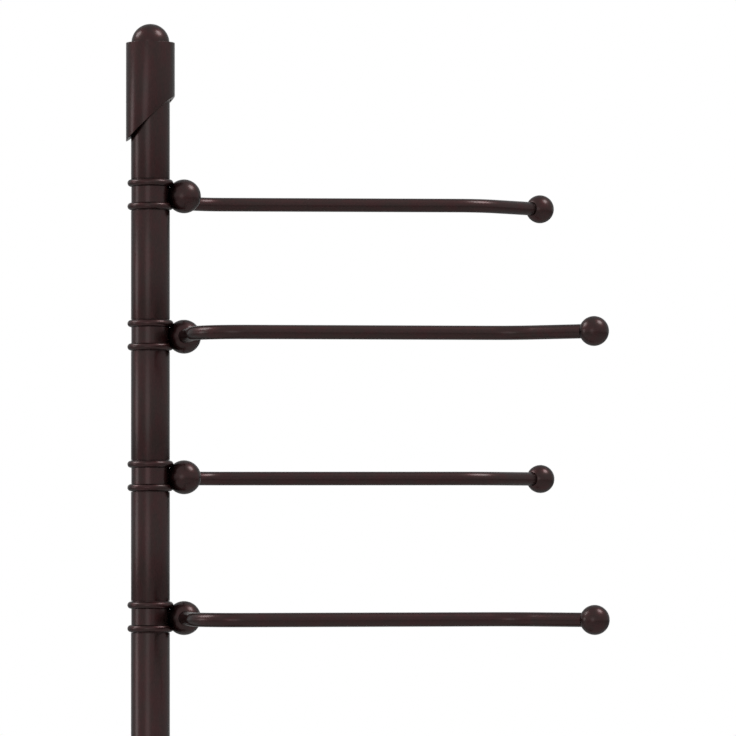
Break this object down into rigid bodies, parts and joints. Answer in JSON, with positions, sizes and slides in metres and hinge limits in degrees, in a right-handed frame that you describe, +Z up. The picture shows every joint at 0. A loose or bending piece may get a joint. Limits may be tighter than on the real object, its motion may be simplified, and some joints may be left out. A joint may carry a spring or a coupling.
{
  "type": "freestanding towel rack",
  "caption": "Freestanding towel rack: a slim post on a weighted round base, with ball-ended bent arms that swing freely about it and an obliquely cut top sleeve under a domed finial.",
  "frame": {"origin": "on the post's axis, on the floor under the base pad", "axes": "+Z up along the post; +X the way every arm's barrel faces at rest; arms 1 and 3 bend to +Y and arms 2 and 4 to -Y"},
  "size_m": [0.447, 0.2984, 1.245],
  "materials": {
    "bronze_finish": "satin dark bronze",
    "steel_hardware": "zinc plated",
    "cast_iron_weight": "as cast, painted black",
    "nylon_bearing": "natural nylon",
    "base_pad_rubber": "matt, fine grain"
  },
  "bodies": {
    "post": {"base_pad": "base_pad_rubber", "base_weight": "cast_iron_weight", "base_shell": "bronze_finish", "base_washer": "steel_hardware", "base_nut": "steel_hardware", "foot_collar": "bronze_finish", "tie_rod": "steel_hardware", "post_tube_lower": "bronze_finish", "post_tube_spacer_1": "bronze_finish", "post_tube_spacer_2": "bronze_finish", "post_tube_spacer_3": "bronze_finish", "post_tube_top": "bronze_finish", "tube_plugs": "steel_hardware", "top_sleeve": "bronze_finish", "sleeve_ring": "bronze_finish", "sleeve_screws": "steel_hardware", "finial_dome": "bronze_finish", "pivot_sleeve_1": "steel_hardware", "thrust_washer_upper_1": "nylon_bearing", "thrust_washer_lower_1": "nylon_bearing", "pivot_sleeve_2": "steel_hardware", "thrust_washer_upper_2": "nylon_bearing", "thrust_washer_lower_2": "nylon_bearing", "pivot_sleeve_3": "steel_hardware", "thrust_washer_upper_3": "nylon_bearing", "thrust_washer_lower_3": "nylon_bearing", "pivot_sleeve_4": "steel_hardware", "thrust_washer_upper_4": "nylon_bearing", "thrust_washer_lower_4": "nylon_bearing"},
    "arm_1": {"swivel_barrel_1": "bronze_finish", "swivel_bush_1": "nylon_bearing", "hub_stud_1": "steel_hardware", "hub_ball_1": "bronze_finish", "arm_rod_1": "bronze_finish", "end_ball_1": "bronze_finish"},
    "arm_2": {"swivel_barrel_2": "bronze_finish", "swivel_bush_2": "nylon_bearing", "hub_stud_2": "steel_hardware", "hub_ball_2": "bronze_finish", "arm_rod_2": "bronze_finish", "end_ball_2": "bronze_finish"},
    "arm_3": {"swivel_barrel_3": "bronze_finish", "swivel_bush_3": "nylon_bearing", "hub_stud_3": "steel_hardware", "hub_ball_3": "bronze_finish", "arm_rod_3": "bronze_finish", "end_ball_3": "bronze_finish"},
    "arm_4": {"swivel_barrel_4": "bronze_finish", "swivel_bush_4": "nylon_bearing", "hub_stud_4": "steel_hardware", "hub_ball_4": "bronze_finish", "arm_rod_4": "bronze_finish", "end_ball_4": "bronze_finish"}
  },
  "joints": [
    {"name": "arm_1_swing", "type": "hinge", "parent": "post", "child": "arm_1", "pos_m": [0, 0, 1.1178], "axis": [0, 0, 1], "continuous": true},
    {"name": "arm_2_swing", "type": "hinge", "parent": "post", "child": "arm_2", "pos_m": [0, 0, 1.0142], "axis": [0, 0, 1], "continuous": true},
    {"name": "arm_3_swing", "type": "hinge", "parent": "post", "child": "arm_3", "pos_m": [0, 0, 0.9106], "axis": [0, 0, 1], "continuous": true},
    {"name": "arm_4_swing", "type": "hinge", "parent": "post", "child": "arm_4", "pos_m": [0, 0, 0.807], "axis": [0, 0, 1], "continuous": true}
  ]
}
